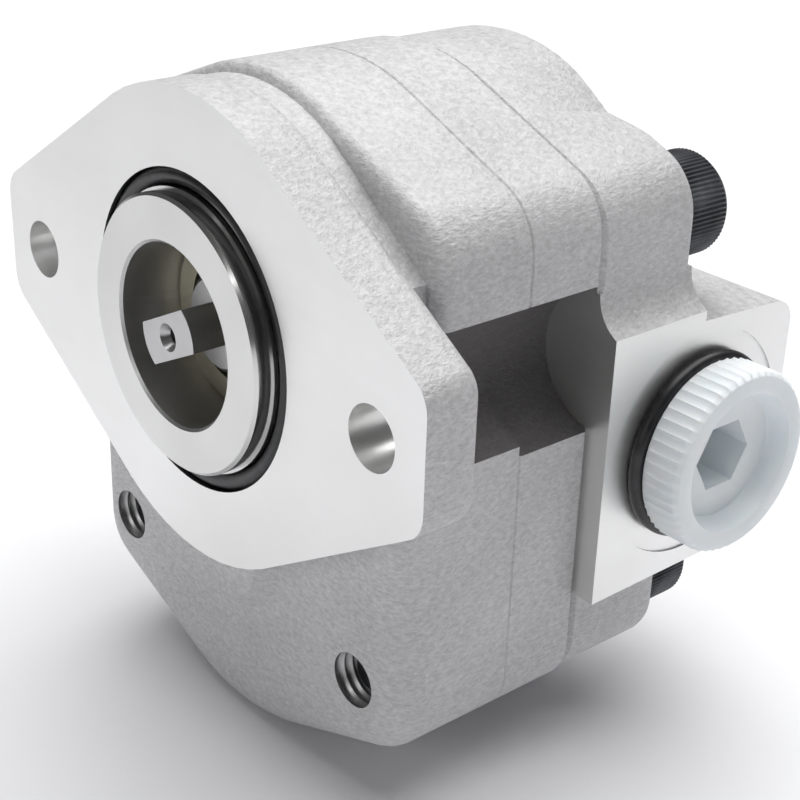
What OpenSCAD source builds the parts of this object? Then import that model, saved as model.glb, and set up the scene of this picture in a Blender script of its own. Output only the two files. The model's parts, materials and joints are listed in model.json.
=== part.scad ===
// External gear pump with a two-bolt flange, in millimetres.
// Origin: on the drive-shaft axis, in the face of the flange.
// +Y runs along the shaft into the pump, +X is to the right, +Z is up.

/* [Flange and pilot] */
// Distance between the two flange bolt holes
bolt_spacing = 82.55; // [60:0.05:110]
// Radius of the flange bolt holes
flange_hole_r = 4.6; // [3:0.1:7]
// Thickness of the flange plate
flange_t = 9.4; // [6:0.1:16]
// Radius of the round middle of the flange
hub_r = 35.2; // [28:0.1:45]
// Slope of the flange edges between middle and ears, in degrees
flange_slope = 31.9; // [15:0.1:45]
// Radius of the flange corners
flange_corner_r = 5; // [2:0.1:9]
// Half-width of the flange, where the ears are cut flat
flange_half_w = 51.5; // [45:0.1:70]
// Radius of the locating pilot
pilot_r = 20.5; // [15:0.05:30]
// Height of the pilot in front of the flange face
pilot_h = 2.7; // [1.5:0.1:8]
// Outer radius of the seal groove round the pilot
groove_r = 23.65; // [20:0.05:34]
// Depth of the seal groove
groove_d = 2.9; // [1.5:0.1:5]
// Radius of the open bore that holds the shaft seal
seal_bore_r = 13.55; // [10:0.05:18]

/* [Body] */
// Distance between the two gear axes
centre_dist = 31.2; // [24:0.1:45]
// Radius of the two round lobes of the body
lobe_r = 36.3; // [30:0.1:45]
// Half-width of the body across its flat sides
body_half_w = 39.8; // [32:0.1:50]
// Radius of the four body corners
corner_r = 9.5; // [5:0.1:14]
// Rounding of the cast edges
cast_round = 2.2; // [1:0.1:3]
// Rounding of the lower front edges
front_round = 5; // [1:0.1:7]
// Slope of the body edges between lobe and corner, in degrees
edge_slope = 21.8; // [5:0.1:40]
// Front face of the lower body, behind the flange face
low_face_y = 7; // [4:0.1:12]
// Joint between front cover and gear housing
joint1_y = 28; // [20:0.1:40]
// Joint between gear housing and rear cover
joint2_y = 41.5; // [35:0.1:60]
// Rear face of the ears of the rear cover
ear_back_y = 60.5; // [52:0.1:80]
// Distance of the body screws from the middle plane
screw_x = 30; // [24:0.1:38]
// Height of the upper body screws
screw_z = 14.4; // [5:0.1:25]
// Radius of the hollow beside the flange bolts, front cover
waist_r = 10.4; // [6:0.1:13]
// Radius of the same hollow in the gear housing
waist2_r = 11.2; // [6:0.1:13]

/* [Port block] */
// Half-width of the port block between its machined faces
block_half_w = 43.5; // [41:0.1:55]
// Rear end of the port block
block_back_y = 81; // [66:0.5:100]
// Top of the port block at its front end
block_top_z = 2.7; // [0:0.1:10]
// Bottom of the port block at its front end
block_low_z = -39.4; // [-50:0.1:-35]
// Distance of the port axis from the flange face
port_y = 61.2; // [52:0.1:75]
// Height of the port axis
port_z = -18.15; // [-25:0.05:-10]
// Radius of the shallow seat round each port
seat_r = 18.1; // [14:0.1:24]
// Radius of the port bore
port_r = 12.5; // [8:0.1:16]
// Depth of the port bore
port_depth = 15; // [8:0.5:20]

/* [Gears and shafts] */
// Number of teeth on each gear
teeth = 12; // [9:1:16]
// Pressure angle of the teeth, in degrees
pressure_angle = 28; // [20:0.5:30]
// Thinning of each tooth, measured on the pitch circle
tooth_thinning = 0.12; // [0.02:0.01:0.3]
// Radius of the shaft journals
journal_r = 7.47; // [5:0.01:10]
// Width of the tang across its round ends
tang_long = 13; // [7:0.1:14]
// Thickness of the tang
tang_short = 6.3; // [3:0.1:9]
// Front end of the tang
tang_front_y = -3.3; // [-15:0.1:0]
// Angle of the long side of the tang above the +X direction
tang_angle = 27.2; // [0:0.1:90]

/* [Plugs] */
// Radius of the plug rim
plug_rim_r = 14.4; // [10:0.1:20]
// Thickness of the plug rim
plug_rim_t = 6.95; // [3:0.05:12]
// Radius of the dished middle of the plug
plug_dish_r = 10.9; // [7:0.1:14]
// Width across flats of the hexagon socket in the plug
plug_hex = 10; // [6:0.5:14]

/* [Hidden] */
$fn = 64;

e = 0.02;                                  // offset that keeps joined curves from just touching
hull_fn = 60;                              // sides of the round cast discs
big = 200;                                 // longer than any part
half_c = centre_dist / 2;
low_screw_z = -centre_dist - screw_z;      // lower body screws, mirrored about the middle
bolt_x = bolt_spacing / 2;

neck_drop = 0.4;                           // the valley behind the flange is shallow at the top
neck_slope = flange_slope + 3.6;           // and deeper towards the ears
neck_end_y = 12;                           // front of the upper body corners
neck_half_w = 37;                          // the neck ends inside the body corners
fine_round = 0.25;                         // edges at the front joint
groove_round = 0.7;                        // edges at the rear joint, which shows as a groove
rear_step = 0.6;                           // the rear cover is cast this much smaller

// stack along the shafts
side_gap = 0.03;                           // free play beside plates and gears
plate_t = 2;                               // wear plates
gear_y0 = joint1_y + plate_t + 2 * side_gap;
gear_y1 = joint2_y - plate_t - 2 * side_gap;
chamber_r = 18.25;                         // bores of the gear housing
plate_r = 18.2;
bush_r = 8.98;                             // outside of the bushes
bush_bore_r = 9;                           // their seats
bush_in_r = 7.5;                           // running bore
bush_front_y = 15;
bush_seat_y = 14.4;                        // floor of the seal bore and of the blind seat
bush_back_y = 56;
journal_back_y = 55;
driven_front_y = 15.2;

// shaft seal
seal_y0 = 7.3;
seal_y1 = 14.3;
seal_case_r = 13.5;
seal_open_r = 9.6;

// passages
pocket_x = 14.5;                           // side pockets beside the mesh
pocket_r = 4.5;
cusp_x = 10.2;                             // takes the sharp edge off where the chambers meet
cusp_r = 1.3;
drill_r = 4;
passage_r = 6;
passage_end_x = 9;

// housing seals and plate seals
hs_in = 19.6;
hs_out = 21.2;
hs_depth = 1.2;
ps_in = 15.2;
ps_out = 16.4;
ps_depth = 1;
rub = 0.05;                                // play of a rubber ring in its groove
groove_in_r = pilot_r + 0.4;
groove_sec = (groove_r - groove_in_r) / 2 - rub;

// dowel pins
dowel_x = 30;
dowel_z = -24;
dowel_r = 3;
dowel_y0 = 21;
dowel_y1 = 46;

// body screws, M10 by 50
head_r = 8;
head_h = 10;
screw_len = 50;
shank_r = 4.95;
clear_r = 5.5;
thread_r = 4.2;
tap_r = 4.25;
tap_groove_r = 4.95;
thread_pitch = 1.5;

// gear tooth figures
pitch_r = half_c;
module_mm = centre_dist / teeth;
base_r = pitch_r * cos(pressure_angle);
tip_r = pitch_r + module_mm;
root_r = tip_r - 2.25 * module_mm;
// angle in degrees between the start of the involute and radius r
function inv(r) = (sqrt(r * r / (base_r * base_r) - 1)) * 180 / PI - acos(base_r / r);
half_pitch_a = (PI * module_mm / 2 - tooth_thinning) / (2 * pitch_r) * 180 / PI;
// half angle of a tooth at radius r
function half_a(r) = half_pitch_a + inv(pitch_r) - inv(max(r, base_r));
flank_n = 7;
function flank_r(i) = base_r + (tip_r - base_r) * i / flank_n;
function polar(r, a) = [r * cos(a), r * sin(a)];
function tooth(c) = concat(
  [polar(root_r, c - half_a(base_r) - 0.6)],
  [for (i = [0 : flank_n]) polar(flank_r(i), c - half_a(flank_r(i)))],
  [for (i = [flank_n : -1 : 0]) polar(flank_r(i), c + half_a(flank_r(i)))],
  [polar(root_r, c + half_a(base_r) + 0.6)]
);

// plug figures
seat_x = block_half_w - 0.3;               // floor of the shallow seat
oring_sec = 1.2;
plug_back_x = seat_x + 2 * oring_sec + 0.05;
plug_front_x = plug_back_x + plug_rim_t;
dish_x = 49;
stem_r = port_r - 0.05;
stem_end_x = 31;

// ---------- helpers ----------

// raises a flat drawing in X and Z from y0 to y1
module along(y0, y1) {
  translate([0, y1, 0])
    rotate([90, 0, 0])
      linear_extrude(height = y1 - y0)
        children();
}

// solid cylinder along Y
module rod(x, z, r, y0, y1) {
  translate([x, y1, z])
    rotate([90, 0, 0])
      cylinder(r = r, h = y1 - y0);
}

// solid cylinder along X, for the right side
module rod_x(y, z, r, x0, x1) {
  translate([x0, y, z])
    rotate([0, 90, 0])
      cylinder(r = r, h = x1 - x0);
}

// ring turned about an axis parallel to Y; the drawing holds radius and y
module turned(x, z) {
  translate([x, 0, z])
    rotate([-90, 0, 0])
      rotate_extrude()
        children();
}

module both_sides() {
  children();
  mirror([1, 0, 0]) children();
}

// two circles on the gear axes
module pair(r) {
  circle(r = r);
  translate([0, -centre_dist]) circle(r = r);
}

// long oval round both gear axes
module oval(r) {
  pair(r);
  translate([-(r - e / 2), -centre_dist]) square([2 * r - e, centre_dist]);
}

// quarter of a rounded edge: x is the distance inwards as a negative number, y the depth
function edge_steps(r) = r > 2 ? 5 : (r > 1 ? 3 : 1);
function edge_pts(r) = [
  for (i = [0 : edge_steps(r)])
    [r * sin(90 * i / edge_steps(r)) - r, r - r * cos(90 * i / edge_steps(r))]
];
function turned_over(pts, depth) = [
  for (i = [len(pts) - 1 : -1 : 0]) [pts[i][0], depth - pts[i][1]]
];

// disc across the shaft with its front edge rounded by rf and its rear edge by rb
module disc(x, z, r, y0, y1, rf, rb) {
  translate([0, y0, 0])
    turned(x, z)
      polygon(concat(
        [[0, 0]],
        [for (p = edge_pts(rf)) [p[0] + r, p[1]]],
        [for (p = turned_over(edge_pts(rb), y1 - y0)) [p[0] + r, p[1]]],
        [[0, y1 - y0]]
      ));
}

// Casting from y0 to y1: round lobes of radius lr at z = 0 and z = -low, and corner discs of
// radius cr that meet the flat sides at hw and the edges of slope t.
module cast_block(lr, hw, cr, t, low, y0, y1, rf, rb) {
  cx = hw - cr;
  cz = (lr - cr - cx * sin(t)) / cos(t);
  hull() {
    for (z = low > 0 ? [0, -low] : [0]) disc(0, z, lr, y0, y1, rf, rb, $fn = hull_fn);
    for (x = [-cx, cx]) {
      disc(x, cz, cr, y0, y1, rf, rb, $fn = hull_fn);
      disc(x, -low - cz, cr, y0, y1, rf, rb, $fn = hull_fn);
    }
  }
}

module body_block(y0, y1, rf, rb) {
  cast_block(lobe_r, body_half_w, corner_r, edge_slope, centre_dist, y0, y1, rf, rb);
}

module flange_block(y0, y1, rf, rb) {
  cast_block(hub_r, flange_half_w, flange_corner_r, flange_slope, 0, y0, y1, rf, rb);
}

// four places of the body screws
module screw_places() {
  for (x = [-screw_x, screw_x]) {
    translate([x, 0, screw_z]) children();
    translate([x, 0, low_screw_z]) children();
  }
}

// hollows beside the flange bolts
module waist(r, dz, y0, y1) {
  rod(bolt_x, dz, r, y0, y1);
  rod(-bolt_x, dz, r, y0, y1);
}

// ---------- castings ----------

module front_cover() {
  color([0.72, 0.72, 0.7])
    difference() {
      union() {
        // flange, neck, upper body, lower body, pilot
        flange_block(0, flange_t, 0, cast_round);
        intersection() {
          cast_block(hub_r - neck_drop, neck_half_w + 4, flange_corner_r, neck_slope, 0,
                     flange_t - cast_round, neck_end_y + 3, 0, 0);
          translate([-neck_half_w, 0, -neck_half_w])
            cube([2 * neck_half_w, big, 2 * neck_half_w]);
        }
        body_block(neck_end_y, joint1_y, cast_round, fine_round);
        intersection() {
          body_block(low_face_y, joint1_y, front_round, fine_round);
          translate([-big / 2, 0, -big - 6]) cube(big);
        }
        rod(0, 0, pilot_r, -2.25, 1);
        turned(0, 0)
          polygon([[seal_bore_r - 1, -pilot_h], [pilot_r - 0.45, -pilot_h],
                   [pilot_r, -pilot_h + 0.45], [seal_bore_r - 1, -pilot_h + 0.45]]);
        cast_swelling();
      }
      // seal groove round the pilot; its inner wall leaves a narrow ledge at the pilot's foot
      difference() {
        rod(0, 0, groove_r, -1, groove_d);
        rod(0, 0, groove_in_r, -2, groove_d + 1);
      }
      // bore for the shaft seal, with an open front edge
      rod(0, 0, seal_bore_r, -pilot_h - 1, bush_seat_y);
      turned(0, 0)
        polygon([[0, -pilot_h - 1], [seal_bore_r + 1.4, -pilot_h - 1],
                 [seal_bore_r, -pilot_h + 0.4], [0, -pilot_h + 0.4]]);
      // bush seats
      rod(0, 0, bush_bore_r, bush_seat_y - 1, joint1_y + 1);
      rod(0, -centre_dist, bush_bore_r, bush_seat_y, joint1_y + 1);
      // flange bolts
      rod(bolt_x, 0, flange_hole_r, -1, flange_t + 5);
      rod(-bolt_x, 0, flange_hole_r, -1, flange_t + 5);
      waist(waist_r, 0, flange_t, joint1_y + 1);
      // tapped holes: lower pair open at the front, upper pair blind
      for (s = [-1, 1]) {
        tapped_hole(s * screw_x);
        rod(s * screw_x, screw_z, tap_r, neck_end_y - 2, joint1_y + 1);
        rod(s * dowel_x, dowel_z, dowel_r + 0.01, dowel_y0 - 1, joint1_y + 1);
      }
    }
}

// low round swelling of the casting, half hidden by the flange
module cast_swelling() {
  turned(-0.5, -34.5)
    polygon([[0, low_face_y - 2.4], [10.2, low_face_y - 2.4],
             [13, low_face_y + 0.2], [0, low_face_y + 0.2]]);
}

// open tapped hole with its first turns of thread cut as rings
module tapped_hole(x) {
  first = low_face_y + 0.4;
  rings = [for (i = [0 : 4]) for (p = [
    [tap_r - 0.1, first + i * thread_pitch],
    [tap_groove_r, first + (i + 0.5) * thread_pitch]
  ]) p];
  rod(x, low_screw_z, tap_r, low_face_y - 1, joint1_y + 1);
  turned(x, low_screw_z)
    polygon(concat([[0, first]], rings, [[tap_r - 0.1, first + 5 * thread_pitch],
                   [0, first + 5 * thread_pitch]]));
}

module gear_housing() {
  y0 = joint1_y - 1;
  y1 = joint2_y + 1;
  color([0.74, 0.74, 0.72])
    difference() {
      body_block(joint1_y, joint2_y, fine_round, groove_round);
      rod(0, 0, chamber_r, y0, y1);
      rod(0, -centre_dist, chamber_r, y0, y1);
      waist(waist2_r, -0.8, y0, y1);
      for (s = [-1, 1]) {
        rod(s * pocket_x, -half_c, pocket_r, y0, y1);
        rod(s * cusp_x, -half_c, cusp_r, y0, y1);
        rod(s * dowel_x, dowel_z, dowel_r + 0.01, y0, y1);
        rod(s * screw_x, screw_z, clear_r, y0, y1);
        rod(s * screw_x, low_screw_z, clear_r, y0, y1);
      }
      seal_groove(joint1_y - 1, joint1_y + hs_depth);
      seal_groove(joint2_y - hs_depth, joint2_y + 1);
    }
}

// groove for a housing seal
module seal_groove(y0, y1) {
  along(y0, y1)
    difference() {
      oval(hs_out);
      oval(hs_in);
    }
}

module rear_cover() {
  color([0.7, 0.7, 0.68])
    difference() {
      union() {
        cast_block(lobe_r - rear_step, body_half_w, corner_r, edge_slope, centre_dist,
                   joint2_y, ear_back_y, groove_round, cast_round - 0.7);
        port_block();
        both_sides() block_fillet();
      }
      both_sides() {
        // valley between lobe and ear, deeper to the rear
        ear_valley();
        // port with its seat, cross passage and axial drilling
        rod_x(port_y, port_z, seat_r, seat_x, seat_x + 10);
        rod_x(port_y, port_z, port_r, block_half_w - port_depth, block_half_w + 1);
        rod_x(port_y, port_z, passage_r, passage_end_x, block_half_w - port_depth + 1);
        rod(pocket_x, -half_c, drill_r, joint2_y - 1, port_y);
        rod(dowel_x, dowel_z, dowel_r + 0.01, joint2_y - 1, dowel_y1 + 1);
        rod(screw_x, screw_z, clear_r, joint2_y - 1, ear_back_y + 1);
        rod(screw_x, low_screw_z, clear_r, joint2_y - 1, ear_back_y + 1);
        rod(screw_x, low_screw_z, head_r + 1.4, ear_back_y, block_back_y + 1);
      }
      rod(0, 0, bush_bore_r, joint2_y - 1, bush_back_y + 0.2);
      rod(0, -centre_dist, bush_bore_r, joint2_y - 1, bush_back_y + 0.2);
    }
}

// block that carries both ports, slightly lower towards the rear
module port_block() {
  r = 4;
  y0 = joint2_y;
  y1 = block_back_y;
  top1 = block_top_z - 2.2;
  low1 = block_low_z + 0.5;
  translate([-block_half_w, 0, 0])
    rotate([90, 0, 90])
      linear_extrude(height = 2 * block_half_w)
        union() {
          polygon([[y0, block_top_z], [y1 - r, top1 + 0.2], [y1 - e, top1 - r],
                   [y1 - e, low1 + r], [y1 - r, low1 - 0.03], [y0, block_low_z]]);
          translate([y1 - r, top1 - r + 0.2 - e]) circle(r = r);
          translate([y1 - r, low1 + r - 0.03 + e]) circle(r = r);
        }
}

// hollow fillet between the side of the upper ear and the top of the block
module block_fillet() {
  f = 6.3;
  x0 = body_half_w - 1;
  along(joint2_y, ear_back_y)
    difference() {
      translate([x0, block_top_z - 4])
        square([block_half_w - x0, f + 4]);
      translate([body_half_w + f - e, block_top_z + f - e]) circle(r = f);
    }
}

module ear_valley() {
  foot_x = 21;
  foot_z = 27.3;
  lean = 10;
  translate([foot_x, ear_back_y, foot_z])
    rotate([-lean, 0, 0])
      rotate([90, 0, 0])
        translate([0, 0, -10])
          linear_extrude(height = 60)
            polygon([[0, 0], [25, -3.4], [25, 25], [-15, 25], [-15, 10.2]]);
}

// ---------- seals, bushes and plates ----------

module pilot_oring() {
  color([0.05, 0.05, 0.05])
    turned(0, 0)
      translate([(groove_r + groove_in_r) / 2, groove_d - groove_sec - rub])
        circle(r = groove_sec, $fn = 32);
}

module shaft_seal_case() {
  color([0.75, 0.72, 0.62])
    turned(0, 0)
      polygon([[seal_open_r, seal_y0], [seal_case_r - 0.4, seal_y0],
               [seal_case_r, seal_y0 + 0.4], [seal_case_r, seal_y1],
               [seal_case_r - 1, seal_y1], [seal_case_r - 1, seal_y0 + 1],
               [seal_open_r, seal_y0 + 1]]);
}

module shaft_seal_lip() {
  color([0.06, 0.06, 0.06])
    turned(0, 0)
      difference() {
        polygon([[8.9, 8.35], [12.45, 8.35], [12.45, 9.3], [9.5, 9.3], [9, 10.6],
                 [9.6, 10.8], [9.6, 13.6], [8.4, 13.6], [7.5, 12.2], [8.2, 10.6]]);
        translate([9.6, 12.2]) circle(r = 0.8, $fn = 24);
      }
}

module seal_garter_spring() {
  color([0.6, 0.6, 0.6])
    turned(0, 0)
      translate([9.6, 12.2]) circle(r = 0.75, $fn = 24);
}

module bush(z, y0, y1) {
  color([0.45, 0.4, 0.33])
    turned(0, z)
      polygon([[bush_in_r, y0 + 0.5], [bush_in_r + 0.5, y0], [bush_r - 0.4, y0],
               [bush_r, y0 + 0.4], [bush_r, y1 - 0.4], [bush_r - 0.4, y1],
               [bush_in_r + 0.5, y1], [bush_in_r, y1 - 0.5]]);
}

module front_bush_drive() {
  bush(0, bush_front_y, joint1_y - 0.1);
}

module front_bush_driven() {
  bush(-centre_dist, bush_front_y, joint1_y - 0.1);
}

module rear_bush_drive() {
  bush(0, joint2_y + 0.1, bush_back_y);
}

module rear_bush_driven() {
  bush(-centre_dist, joint2_y + 0.1, bush_back_y);
}

// wear plate; its seal groove faces the cover
module wear_plate(y0, groove_y) {
  color([0.7, 0.55, 0.3])
    difference() {
      along(y0, y0 + plate_t)
        difference() {
          pair(plate_r);
          pair(7.6);
          for (s = [-1, 1])
            translate([s * pocket_x, -half_c]) circle(r = pocket_r);
        }
      along(groove_y, groove_y + ps_depth)
        difference() {
          pair(ps_out);
          pair(ps_in);
        }
    }
}

module front_wear_plate() {
  wear_plate(joint1_y + side_gap, joint1_y + side_gap - 0.001);
}

module rear_wear_plate() {
  wear_plate(joint2_y - side_gap - plate_t, joint2_y - side_gap - ps_depth + 0.001);
}

module plate_seal(y0) {
  color([0.08, 0.08, 0.08])
    along(y0, y0 + ps_depth - rub)
      difference() {
        pair(ps_out - rub);
        pair(ps_in + rub);
      }
}

module front_plate_seal() {
  plate_seal(joint1_y + side_gap);
}

module rear_plate_seal() {
  plate_seal(joint2_y - side_gap - ps_depth + rub);
}

module housing_seal(y0) {
  color([0.08, 0.08, 0.08])
    along(y0, y0 + hs_depth - rub)
      difference() {
        oval(hs_out - rub);
        oval(hs_in + rub);
      }
}

module front_housing_seal() {
  housing_seal(joint1_y);
}

module rear_housing_seal() {
  housing_seal(joint2_y - hs_depth + rub);
}

// ---------- gears ----------

module gear_2d(first_angle) {
  polygon([for (i = [0 : teeth - 1]) for (p = tooth(first_angle + i * 360 / teeth)) p]);
}

module drive_gear_shaft() {
  color([0.55, 0.55, 0.56])
    difference() {
      union() {
        along(gear_y0, gear_y1) gear_2d(-90);
        turned(0, 0)
          polygon([[0, 5], [journal_r - 0.8, 5], [journal_r, 5.8],
                   [journal_r, journal_back_y - 0.8], [journal_r - 0.8, journal_back_y],
                   [0, journal_back_y]]);
        // tang
        intersection() {
          rotate([0, -tang_angle, 0])
            translate([-tang_long, tang_front_y, -tang_short / 2])
              cube([2 * tang_long, 10, tang_short]);
          rod(0, 0, tang_long / 2, tang_front_y - 1, tang_front_y + 11);
        }
      }
      // centre hole
      rod(0, 0, 1.3, tang_front_y - 1, tang_front_y + 6);
      turned(0, 0)
        polygon([[0, tang_front_y - 0.5], [2.4, tang_front_y - 0.5],
                 [0, tang_front_y + 3.4]]);
    }
}

module driven_gear_shaft() {
  color([0.5, 0.5, 0.52])
    union() {
      translate([0, 0, -centre_dist])
        along(gear_y0, gear_y1) gear_2d(90 + 180 / teeth);
      turned(0, -centre_dist)
        polygon([[0, driven_front_y], [journal_r - 0.8, driven_front_y],
                 [journal_r, driven_front_y + 0.8], [journal_r, journal_back_y - 0.8],
                 [journal_r - 0.8, journal_back_y], [0, journal_back_y]]);
    }
}

// ---------- fasteners ----------

module dowel_pins() {
  color([0.6, 0.6, 0.62])
    for (s = [-1, 1])
      turned(s * dowel_x, dowel_z)
        polygon([[0, dowel_y0], [dowel_r - 0.5, dowel_y0], [dowel_r, dowel_y0 + 0.5],
                 [dowel_r, dowel_y1 - 0.5], [dowel_r - 0.5, dowel_y1], [0, dowel_y1]]);
}

module body_screws() {
  top = ear_back_y + head_h;
  tip = ear_back_y - screw_len;
  color([0.12, 0.12, 0.13])
    screw_places()
      difference() {
        turned(0, 0)
          polygon([[0, tip], [thread_r - 0.8, tip], [thread_r, tip + 0.8],
                   [thread_r, joint1_y], [shank_r, joint1_y + 0.75],
                   [shank_r, ear_back_y], [head_r, ear_back_y],
                   [head_r, top - 0.8], [head_r - 0.8, top], [0, top]]);
        // hexagon socket, 8 mm across flats
        translate([0, top + 1, 0])
          rotate([90, 0, 0])
            cylinder(r = 4 / cos(30), h = 6, $fn = 6);
      }
}

// ---------- plugs ----------

module port_plug() {
  color([0.93, 0.95, 0.97])
    difference() {
      translate([0, port_y, port_z])
        rotate([0, 90, 0])
          rotate_extrude()
            polygon([[0, stem_end_x], [stem_r - 1, stem_end_x], [stem_r, stem_end_x + 1],
                     [stem_r, plug_back_x], [plug_rim_r - 0.4, plug_back_x],
                     [plug_rim_r, plug_back_x + 0.4], [plug_rim_r, plug_front_x - 0.8],
                     [plug_rim_r - 0.8, plug_front_x], [plug_dish_r, plug_front_x],
                     [plug_dish_r - 0.6, dish_x], [0, dish_x]]);
      translate([41, port_y, port_z])
        rotate([0, 90, 0])
          rotate([0, 0, 30])
            cylinder(r = plug_hex / 2 / cos(30), h = 10, $fn = 6);
    }
}

module port_plug_oring() {
  color([0.05, 0.05, 0.05])
    translate([0, port_y, port_z])
      rotate([0, 90, 0])
        rotate_extrude()
          translate([13.75, seat_x + oring_sec + 0.025]) circle(r = oring_sec, $fn = 32);
}

module inlet_plug() {
  port_plug();
}

module inlet_plug_oring() {
  port_plug_oring();
}

module outlet_plug() {
  mirror([1, 0, 0]) port_plug();
}

module outlet_plug_oring() {
  mirror([1, 0, 0]) port_plug_oring();
}

// ---------- what is drawn ----------

front_cover();
gear_housing();
rear_cover();
pilot_oring();
shaft_seal_case();
shaft_seal_lip();
seal_garter_spring();
front_bush_drive();
front_bush_driven();
rear_bush_drive();
rear_bush_driven();
drive_gear_shaft();
driven_gear_shaft();
front_wear_plate();
rear_wear_plate();
front_plate_seal();
rear_plate_seal();
front_housing_seal();
rear_housing_seal();
dowel_pins();
body_screws();
inlet_plug();
inlet_plug_oring();
outlet_plug();
outlet_plug_oring();
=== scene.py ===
"""Looks of the gear pump: camera, light, materials and the finely detailed pieces."""
import json
from math import cos, hypot, pi, radians, sin

import bmesh
import bpy
from mathutils import Matrix, Vector


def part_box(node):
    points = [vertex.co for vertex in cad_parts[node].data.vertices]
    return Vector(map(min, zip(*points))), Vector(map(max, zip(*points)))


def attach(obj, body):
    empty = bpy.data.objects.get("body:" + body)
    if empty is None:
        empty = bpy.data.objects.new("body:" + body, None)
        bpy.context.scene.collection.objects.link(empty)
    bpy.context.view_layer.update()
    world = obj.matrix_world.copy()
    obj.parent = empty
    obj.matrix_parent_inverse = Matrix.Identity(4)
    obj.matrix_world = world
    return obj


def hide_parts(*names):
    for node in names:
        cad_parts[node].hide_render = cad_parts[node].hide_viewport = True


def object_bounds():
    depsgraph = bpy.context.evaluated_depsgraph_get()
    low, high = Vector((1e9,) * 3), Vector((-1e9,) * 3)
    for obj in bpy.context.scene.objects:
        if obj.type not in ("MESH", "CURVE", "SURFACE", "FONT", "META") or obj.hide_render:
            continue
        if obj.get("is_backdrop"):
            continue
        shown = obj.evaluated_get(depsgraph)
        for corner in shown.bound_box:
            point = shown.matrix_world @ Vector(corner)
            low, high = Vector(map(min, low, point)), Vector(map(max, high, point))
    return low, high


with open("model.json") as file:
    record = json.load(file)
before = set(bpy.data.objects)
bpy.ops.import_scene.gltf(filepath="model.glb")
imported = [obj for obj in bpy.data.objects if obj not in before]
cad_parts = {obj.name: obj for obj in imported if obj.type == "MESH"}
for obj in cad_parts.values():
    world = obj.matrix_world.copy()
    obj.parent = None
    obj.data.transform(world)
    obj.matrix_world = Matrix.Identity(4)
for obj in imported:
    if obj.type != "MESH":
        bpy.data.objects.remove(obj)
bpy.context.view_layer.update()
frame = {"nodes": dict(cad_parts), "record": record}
nodes = frame["nodes"]
record = frame["record"]
MM = 0.001


# ---------- sizes taken from the frame ----------

def mid(node):
    low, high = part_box(node)
    return (low + high) / 2


def size(node):
    low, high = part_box(node)
    return high - low


flange_bolts = next(m for m in record["mounts"] if m["name"] == "flange_bolts")["dims"]
BOLT_X = flange_bolts["spacing_x_mm"] / 2 * MM
FLANGE_HOLE_R = (flange_bolts["hole_r_mm"] + 0.1) * MM
GROOVE_R = size("pilot_oring").x / 2 + 0.15 * MM
PORT = mid("inlet_plug")
PORT_FACE_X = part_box("rear_cover")[1].x
FRONT_JOINT_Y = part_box("front_cover")[1].y
REAR_JOINT_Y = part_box("rear_cover")[0].y

HEAD_R = 8 * MM                            # heads of the body screws
HEAD_H = 10 * MM
SCREW_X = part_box("body_screws")[1].x - HEAD_R
LOW_SCREW_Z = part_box("body_screws")[0].z + HEAD_R


# ---------- camera and light ----------

CAMERA_PLACE = Vector((179.2, -114.35, 91.1)) * MM
CAMERA_RIGHT = Vector((0.6417, 0.7664, 0.0296))
CAMERA_FORWARD = Vector((-0.6834, 0.5889, -0.4314))
SENSOR = 36
LENS = 72.9
AIM = (0, 0.03, -0.01)                     # the lights point at the middle of the pump


def camera():
    data = bpy.data.cameras.new("camera")
    data.sensor_width = SENSOR
    data.lens = LENS
    data.clip_start = 0.01
    obj = bpy.data.objects.new("camera", data)
    bpy.context.scene.collection.objects.link(obj)
    right = CAMERA_RIGHT.normalized()
    forward = CAMERA_FORWARD.normalized()
    up = right.cross(forward).normalized()
    turn = Matrix((right, up, -forward)).transposed()
    obj.matrix_world = Matrix.Translation(CAMERA_PLACE) @ turn.to_4x4()
    bpy.context.scene.camera = obj


def aimed(obj, place):
    """Puts a light or a board in its place, facing the pump."""
    away = Vector(AIM) - Vector(place)
    obj.location = place
    obj.rotation_euler = away.to_track_quat("-Z", "Y").to_euler()
    obj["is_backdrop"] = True


def softbox(name, place, width, height, power):
    light = bpy.data.lights.new(name, "AREA")
    light.shape = "RECTANGLE"
    light.size = width
    light.size_y = height
    light.energy = power
    obj = bpy.data.objects.new(name, light)
    bpy.context.scene.collection.objects.link(obj)
    aimed(obj, place)


def dark_card(name, place, width, height):
    """A black board that only shows up as a reflection in the turned metal."""
    bpy.ops.mesh.primitive_plane_add(size=1)
    obj = bpy.context.object
    obj.name = name
    obj.scale = (width, height, 1)
    obj.data.materials.append(plain("card_black", (0.01, 0.01, 0.01), 0.9))
    obj.visible_camera = False
    obj.visible_diffuse = False
    obj.visible_shadow = False
    aimed(obj, place)


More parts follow.
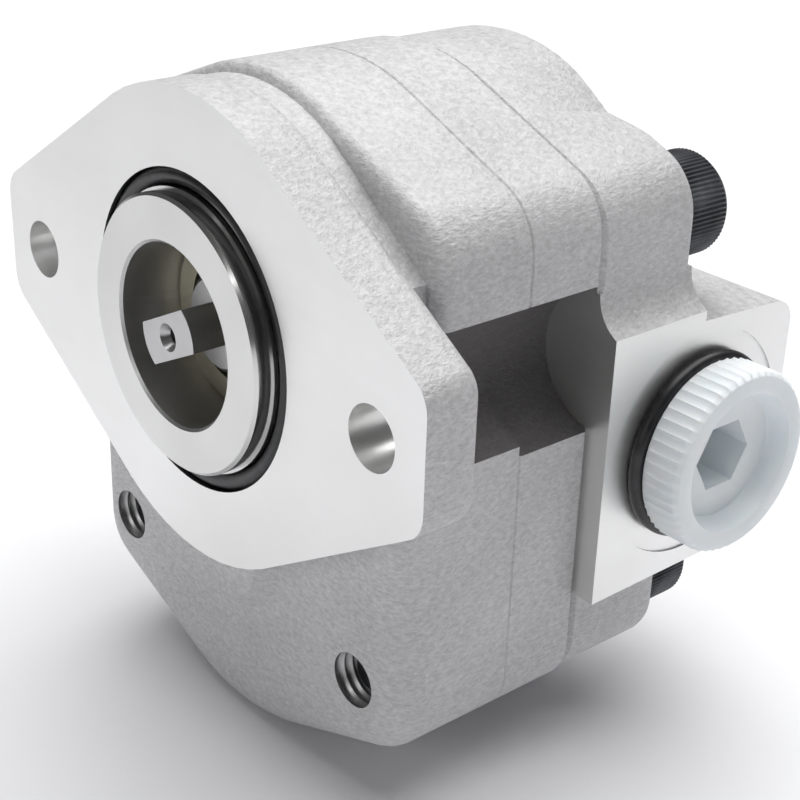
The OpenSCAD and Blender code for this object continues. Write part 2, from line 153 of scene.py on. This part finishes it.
def floor():
    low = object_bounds()[0]
    gap = 0.2 * MM
    bpy.ops.mesh.primitive_plane_add(size=6, location=(0, 0, low[2] - gap))
    obj = bpy.context.object
    obj.name = "floor"
    obj.data.materials.append(plain("floor_white", (0.93, 0.93, 0.95), 0.7))
    obj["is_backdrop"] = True


def backdrop():
    """A white wall at the floor's edge that gives no light: low views need it."""
    bpy.ops.mesh.primitive_cylinder_add(
        vertices=96, radius=2.9, depth=5, end_fill_type="NOTHING")
    obj = bpy.context.object
    obj.name = "backdrop"
    obj.data.materials.append(glowing("backdrop_white", 1.0))
    obj.visible_diffuse = False
    obj.visible_glossy = False
    obj.visible_transmission = False
    obj.visible_shadow = False
    obj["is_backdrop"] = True


def surroundings():
    floor()
    backdrop()
    world = bpy.data.worlds.new("world")
    bpy.context.scene.world = world
    world.use_nodes = True
    sky = world.node_tree.nodes["Background"]
    sky.inputs["Color"].default_value = (1, 1, 1, 1)
    sky.inputs["Strength"].default_value = 0.1
    softbox("top_light", (-0.15, 0.35, 1.2), 1.7, 1.7, 28)
    softbox("front_light", (0.1, -1.1, 0.5), 0.5, 0.4, 2)
    dark_card("front_card", (0.55, -0.3, 0.1), 0.35, 0.5)
    bpy.context.scene.view_settings.view_transform = "Standard"


# ---------- materials ----------

def plain(name, colour, rough, metallic=0.0):
    mat = bpy.data.materials.new(name)
    mat.use_nodes = True
    shader = mat.node_tree.nodes["Principled BSDF"]
    shader.inputs["Base Color"].default_value = (*colour, 1)
    shader.inputs["Roughness"].default_value = rough
    shader.inputs["Metallic"].default_value = metallic
    return mat


def glowing(name, strength):
    mat = plain(name, (0, 0, 0), 1.0)
    shader = mat.node_tree.nodes["Principled BSDF"]
    shader.inputs["Emission Color"].default_value = (1, 1, 1, 1)
    shader.inputs["Emission Strength"].default_value = strength
    return mat


class Nodes:
    """Short calls that build one node material. Scales are per metre."""

    def __init__(self, name, colour, rough, metallic=0.0):
        self.mat = plain(name, colour, rough, metallic)
        self.tree = self.mat.node_tree
        self.shader = self.tree.nodes["Principled BSDF"]
        self.place = self.add("ShaderNodeTexCoord").outputs["Object"]

    def add(self, kind):
        return self.tree.nodes.new(kind)

    def join(self, source, target):
        self.tree.links.new(source, target)

    def stretched(self, scale, turn=(0, 0, 0)):
        """Object coordinates, scaled per axis and turned by degrees."""
        mapping = self.add("ShaderNodeMapping")
        mapping.inputs["Rotation"].default_value = [radians(a) for a in turn]
        mapping.inputs["Scale"].default_value = scale
        self.join(self.place, mapping.inputs["Vector"])
        return mapping.outputs["Vector"]

    def noise(self, scale, detail=3, where=None, rough=0.5):
        node = self.add("ShaderNodeTexNoise")
        node.inputs["Scale"].default_value = scale
        node.inputs["Detail"].default_value = detail
        node.inputs["Roughness"].default_value = rough
        self.join(where or self.place, node.inputs["Vector"])
        return node.outputs["Fac"]

    def pits(self, scale, width):
        """0 at scattered points and 1 away from them."""
        node = self.add("ShaderNodeTexVoronoi")
        node.inputs["Scale"].default_value = scale
        self.join(self.place, node.inputs["Vector"])
        return self.ramp(node.outputs["Distance"], [(0, (0, 0, 0)), (width, (1, 1, 1))])

    def ramp(self, source, stops):
        """The source as a colour between two stops, each a place and a colour."""
        node = self.add("ShaderNodeValToRGB")
        for element, (at, colour) in zip(node.color_ramp.elements, stops):
            element.position = at
            element.color = (*colour, 1)
        self.join(source, node.inputs["Fac"])
        return node.outputs["Color"]

    def scaled(self, source, low, high):
        node = self.add("ShaderNodeMapRange")
        node.inputs["To Min"].default_value = low
        node.inputs["To Max"].default_value = high
        self.join(source, node.inputs["Value"])
        return node.outputs["Result"]

    def total(self, a, b):
        node = self.add("ShaderNodeMath")
        self.join(a, node.inputs[0])
        self.join(b, node.inputs[1])
        return node.outputs["Value"]

    def bump(self, height, strength, distance, below=None):
        node = self.add("ShaderNodeBump")
        node.inputs["Strength"].default_value = strength
        node.inputs["Distance"].default_value = distance
        self.join(height, node.inputs["Height"])
        if below:
            self.join(below, node.inputs["Normal"])
        return node.outputs["Normal"]

    def finish(self, colour, rough, normal):
        self.join(colour, self.shader.inputs["Base Color"])
        self.join(rough, self.shader.inputs["Roughness"])
        self.join(normal, self.shader.inputs["Normal"])
        return self.mat


def cast_skin(name, tone):
    """Sand-cast aluminium: short ripples, fine grain and a few pits."""
    n = Nodes(name, tone, 0.55, 0.3)
    dark = [c * 0.38 for c in tone]
    ripples = n.noise(900, 4, n.stretched((1, 1, 2.2), (35, 0, 20)), 0.72)
    grain = n.noise(2600, 2)
    clouds = n.total(n.scaled(n.noise(55, 4), 0.38, 0.52), n.scaled(grain, -0.05, 0.05))
    shade = n.total(clouds, n.scaled(ripples, -0.22, 0.38))
    normal = n.bump(n.noise(90, 2), 0.35, 0.5 * MM)
    normal = n.bump(ripples, 0.9, 0.3 * MM, normal)
    normal = n.bump(grain, 0.5, 0.06 * MM, normal)
    normal = n.bump(n.pits(220, 0.09), 0.4, 0.08 * MM, normal)
    return n.finish(n.ramp(shade, [(0.25, dark), (0.75, tone)]),
                    n.scaled(ripples, 0.45, 0.68), normal)


def milled_face():
    """Faces cut flat: smooth, with faint tool marks."""
    n = Nodes("milled_face", (0.8, 0.8, 0.79), 0.3, 0.85)
    marks = n.noise(60, 2, n.stretched((1, 1, 14), (0, 25, 0)))
    tint = n.ramp(n.noise(28, 4), [(0.25, (0.76, 0.76, 0.74)), (0.75, (0.86, 0.86, 0.86))])
    grain = n.bump(n.noise(3000, 1), 0.06, 0.02 * MM)
    normal = n.bump(marks, 0.12, 0.05 * MM, grain)
    return n.finish(tint, n.scaled(marks, 0.26, 0.4), normal)


def turned_face():
    """Bright turned surfaces of the pilot and its groove."""
    n = Nodes("turned_face", (0.6, 0.6, 0.6), 0.16, 1.0)
    lines = n.noise(120, 2, n.stretched((1, 60, 1)))
    tint = n.ramp(n.noise(40, 3), [(0.3, (0.57, 0.57, 0.565)), (0.7, (0.67, 0.67, 0.66))])
    return n.finish(tint, n.scaled(lines, 0.12, 0.24), n.bump(lines, 0.1, 0.02 * MM))


def metal(name, colour, rough):
    n = Nodes(name, colour, rough, 1.0)
    dark = [c * 0.85 for c in colour]
    spots = n.noise(1800, 3)
    tint = n.ramp(n.noise(120, 3), [(0.3, dark), (0.7, colour)])
    return n.finish(tint, n.scaled(spots, rough * 0.8, rough * 1.3),
                    n.bump(spots, 0.12, 0.02 * MM))


def rubber():
    n = Nodes("rubber", (0.012, 0.012, 0.013), 0.32)
    tint = n.ramp(n.noise(500, 3), [(0.3, (0.008, 0.008, 0.009)), (0.8, (0.03, 0.03, 0.032))])
    return n.finish(tint, n.scaled(n.noise(700, 2), 0.25, 0.45),
                    n.bump(n.noise(1500, 2), 0.15, 0.03 * MM))


def black_oxide():
    n = Nodes("black_oxide", (0.04, 0.042, 0.047), 0.38, 0.7)
    tint = n.ramp(n.noise(260, 4), [(0.3, (0.025, 0.026, 0.03)), (0.75, (0.085, 0.09, 0.1))])
    return n.finish(tint, n.scaled(n.noise(900, 2), 0.3, 0.5),
                    n.bump(n.noise(1600, 2), 0.2, 0.03 * MM))


def white_plastic():
    n = Nodes("white_plastic", (0.86, 0.9, 0.93), 0.35)
    n.shader.inputs["Subsurface Weight"].default_value = 0.3
    n.shader.inputs["Subsurface Radius"].default_value = (2.0 * MM, 2.4 * MM, 2.8 * MM)
    n.shader.inputs["Subsurface Scale"].default_value = 1.0
    tint = n.ramp(n.noise(90, 3), [(0.3, (0.82, 0.87, 0.9)), (0.75, (0.9, 0.93, 0.95))])
    return n.finish(tint, n.scaled(n.noise(300, 3), 0.28, 0.45),
                    n.bump(n.noise(700, 3), 0.12, 0.05 * MM))


# ---------- turned pieces ----------

def cap(bm, ring, height):
    """Closes a ring of vertices to its middle."""
    centre = bm.verts.new((0, 0, height))
    for a, b in zip(ring, ring[1:] + ring[:1]):
        bm.faces.new((a, b, centre))


def turned_mesh(name, profile, segments, place, axis, radius_of):
    """A closed turned shape. profile holds (kind, radius, height) for each ring, and
    radius_of gives the radius of a kind of ring at an angle."""
    bm = bmesh.new()
    rings = []
    for kind, radius, height in profile:
        ring = []
        for i in range(segments):
            angle = 2 * pi * i / segments
            r = radius_of(kind, radius, angle)
            ring.append(bm.verts.new((r * cos(angle), r * sin(angle), height)))
        rings.append(ring)
    for lower, upper in zip(rings, rings[1:]):
        for i in range(segments):
            j = (i + 1) % segments
            bm.faces.new((lower[i], lower[j], upper[j], upper[i]))
    cap(bm, rings[0], profile[0][2])
    cap(bm, rings[-1], profile[-1][2])
    bmesh.ops.recalc_face_normals(bm, faces=bm.faces)
    turn = Vector((0, 0, 1)).rotation_difference(Vector(axis)).to_matrix().to_4x4()
    bm.transform(Matrix.Translation(place) @ turn)
    mesh = bpy.data.meshes.new(name)
    bm.to_mesh(mesh)
    bm.free()
    mesh.shade_smooth()
    mesh.set_sharp_from_angle(angle=radians(32))
    obj = bpy.data.objects.new(name, mesh)
    bpy.context.scene.collection.objects.link(obj)
    return obj


def hexagon(flat, angle):
    """Distance from the middle to the side of a hexagon with half width flat."""
    return flat / cos(((angle + pi / 6) % (pi / 3)) - pi / 6)


KNURL_TEETH = 72
KNURL_DEPTH = 0.1 * MM                     # half of it, crest to valley
PLUG_RIBS = 54
RIB_DEPTH = 0.28 * MM
RIB_SHARPNESS = 0.7


def screw_radius(kind, radius, angle):
    if kind == "knurl":
        return radius - KNURL_DEPTH * (1 - cos(angle * KNURL_TEETH))
    if kind == "hex":
        return hexagon(radius, angle)
    return radius


def plug_radius(kind, radius, angle):
    if kind == "ribs":
        return radius - RIB_DEPTH * abs(sin(angle * PLUG_RIBS / 2)) ** RIB_SHARPNESS
    if kind == "hex":
        return hexagon(radius, angle)
    return radius


def body_screws(material):
    """The four cap screws with their straight-knurled heads."""
    low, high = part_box("body_screws")
    top = high.y
    under = top - HEAD_H
    thread_r = 4.2 * MM
    shank_r = 4.9 * MM
    thread_end = 28 * MM
    socket = 4 * MM
    profile = [
        ("round", thread_r - 0.8 * MM, low.y), ("round", thread_r, low.y + 0.8 * MM),
        ("round", thread_r, thread_end), ("round", shank_r, thread_end + 0.8 * MM),
        ("round", shank_r, under), ("round", HEAD_R - 0.5 * MM, under),
        ("knurl", HEAD_R, under + 0.5 * MM), ("knurl", HEAD_R, top - 1.2 * MM),
        ("round", HEAD_R - 0.25 * MM, top - 0.9 * MM), ("round", HEAD_R - 0.9 * MM, top),
        ("round", socket * 1.22, top), ("hex", socket, top - 0.4 * MM),
        ("hex", socket, top - 5 * MM), ("round", 0.5 * MM, top - 6 * MM),
    ]
    for x in (low.x + HEAD_R, high.x - HEAD_R):
        for z in (low.z + HEAD_R, high.z - HEAD_R):
            name = f"screw_{'right' if x > 0 else 'left'}_{'top' if z > 0 else 'low'}"
            piece = turned_mesh(name, profile, 6 * KNURL_TEETH, (x, 0, z), (0, 1, 0),
                                screw_radius)
            piece.data.materials.append(material)
            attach(piece, "pump_body")
    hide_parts("body_screws")


def port_plug(node, body, side, material):
    """Transport plug: ribbed rim, dished middle, hexagon socket. side is 1 or -1."""
    low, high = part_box(node)
    outer = max(abs(low.x), abs(high.x))
    inner = min(abs(low.x), abs(high.x))
    back = outer - 6.95 * MM
    rim = size(node).z / 2
    stem = 12.44 * MM
    dish = 10.9 * MM
    dish_x = 49 * MM
    hex_flat = 5 * MM
    hex_end = 41 * MM
    profile = [
        ("round", stem - 1 * MM, inner), ("round", stem, inner + 1 * MM),
        ("round", stem, back), ("round", rim - 0.9 * MM, back),
        ("round", rim - 0.45 * MM, back + 0.15 * MM),
        ("ribs", rim, back + 0.6 * MM), ("ribs", rim, outer - 1.1 * MM),
        ("ribs", rim - 0.15 * MM, outer - 0.7 * MM),
        ("round", rim - 0.75 * MM, outer - 0.15 * MM), ("round", rim - 1.2 * MM, outer),
        ("round", dish + 0.5 * MM, outer), ("round", dish + 0.1 * MM, outer - 0.2 * MM),
        ("round", dish - 0.1 * MM, outer - 0.7 * MM),
        ("round", dish - 0.5 * MM, dish_x + 0.8 * MM), ("round", dish - 1.1 * MM, dish_x),
        ("round", hex_flat * 1.26, dish_x), ("hex", hex_flat, dish_x - 0.15 * MM),
        ("hex", hex_flat, hex_end), ("round", 0.5 * MM, hex_end - 0.5 * MM),
    ]
    place = (0, mid(node).y, mid(node).z)
    piece = turned_mesh(node + "_ribbed", profile, 12 * PLUG_RIBS, place, (side, 0, 0),
                        plug_radius)
    piece.data.materials.append(material)
    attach(piece, body)
    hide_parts(node)


# ---------- castings ----------

WELD = 0.002 * MM                          # joins vertices split by the file format
SHARP_EDGE = radians(24)
# PAINTED_SHADE is cast skin darkened to paint the shade that falls in the hollows
CAST, MILLED, TURNED, BORED, PAINTED_SHADE = range(5)


def welded_copy(node, choose, materials):
    """A casting with its split vertices joined, shaded smooth over rounded edges, and
    a material chosen for each face from its middle and normal."""
    bm = bmesh.new()
    bm.from_mesh(nodes[node].data)
    bmesh.ops.remove_doubles(bm, verts=bm.verts, dist=WELD)
    bmesh.ops.dissolve_degenerate(bm, edges=bm.edges, dist=WELD / 2)
    for face in bm.faces:
        face.material_index = choose(face.calc_center_median(), face.normal)
        face.smooth = max(abs(face.normal.x), abs(face.normal.y)) < 0.9995
    for edge in bm.edges:
        edge.smooth = edge.calc_face_angle(0) < SHARP_EDGE
    mesh = bpy.data.meshes.new(node + "_skin")
    bm.to_mesh(mesh)
    bm.free()
    for material in materials:
        mesh.materials.append(material)
    obj = bpy.data.objects.new(node + "_skin", mesh)
    bpy.context.scene.collection.objects.link(obj)
    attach(obj, "pump_body")
    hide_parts(node)


def in_waist(middle):
    """On the wall of the hollow behind a flange bolt, where the casting gets the painted
    shade.
    """
    return hypot(abs(middle.x) - BOLT_X, middle.z) < 12.2 * MM


def tapped(middle, normal):
    """On the wall of an open tapped hole below the flange."""
    away = hypot(abs(middle.x) - SCREW_X, middle.z - LOW_SCREW_Z)
    return away < 5.1 * MM and abs(normal.y) < 0.9


def front_cover_finish(middle, normal):
    flange_back_y = 9.5 * MM
    bore_r = 15.5 * MM
    pilot_front_y = -2.6 * MM
    groove_floor_y = 5 * MM
    from_axis = hypot(middle.x, middle.z)
    if from_axis < bore_r and middle.y > pilot_front_y:
        return BORED
    if hypot(abs(middle.x) - BOLT_X, middle.z) < FLANGE_HOLE_R:
        return MILLED
    if from_axis < GROOVE_R and middle.y < groove_floor_y:
        return TURNED
    if middle.y < 0.01 * MM or middle.y > FRONT_JOINT_Y - 0.3 * MM:
        return MILLED
    if tapped(middle, normal):
        return BORED
    # the wall of the hollow behind the flange gets the painted shade
    return PAINTED_SHADE if in_waist(middle) and middle.y > flange_back_y else CAST


def housing_finish(middle, normal):
    if abs(normal.y) > 0.9:
        return MILLED
    # the wall of the hollow gets the painted shade
    return PAINTED_SHADE if in_waist(middle) else CAST


def rear_cover_finish(middle, normal):
    bore_r = 12.6 * MM
    seat_r = 18.3 * MM
    seat_depth = 0.35 * MM
    bore_end_x = 27 * MM
    from_port = hypot(middle.y - PORT.y, middle.z - PORT.z)
    if abs(middle.x) > bore_end_x and from_port < bore_r:
        return BORED
    flat_or_seat = abs(normal.x) > 0.999 or from_port < seat_r
    if abs(middle.x) > PORT_FACE_X - seat_depth and flat_or_seat:
        return MILLED
    if middle.y < REAR_JOINT_Y + 0.1 * MM:
        return MILLED
    # front wall of the port block, in the shade of the hollow, gets the painted shade
    front_wall = normal.y < -0.95 and abs(middle.x) > 30 * MM and middle.z < -3 * MM
    return PAINTED_SHADE if front_wall else CAST


# ---------- making ----------

camera()
surroundings()
castings = [
    cast_skin("cast_skin", (0.82, 0.81, 0.82)), milled_face(), turned_face(),
    # the last one paints shade: cast skin darkened for the hollows
    metal("bored_wall", (0.55, 0.55, 0.55), 0.4), cast_skin("cast_painted_shade", (0.2, 0.19, 0.19)),
]
welded_copy("front_cover", front_cover_finish, castings)
welded_copy("gear_housing", housing_finish, castings)
welded_copy("rear_cover", rear_cover_finish, castings)
body_screws(black_oxide())
plastic = white_plastic()
port_plug("inlet_plug", "right_plug", 1, plastic)
port_plug("outlet_plug", "left_plug", -1, plastic)

# the CAD pieces that stay as they are
LOOKS = {
    "rubber": rubber(),
    "steel": metal("ground_steel", (0.5, 0.5, 0.5), 0.3),
    "seal_case_steel": metal("passivated_steel", (0.64, 0.6, 0.46), 0.34),
    "bronze": metal("bronze", (0.6, 0.44, 0.22), 0.35),
}
for part in record["subparts"]:
    look = LOOKS.get(part["material_slot"])
    if look:
        data = nodes[part["node"]].data
        data.materials.clear()
        data.materials.append(look)
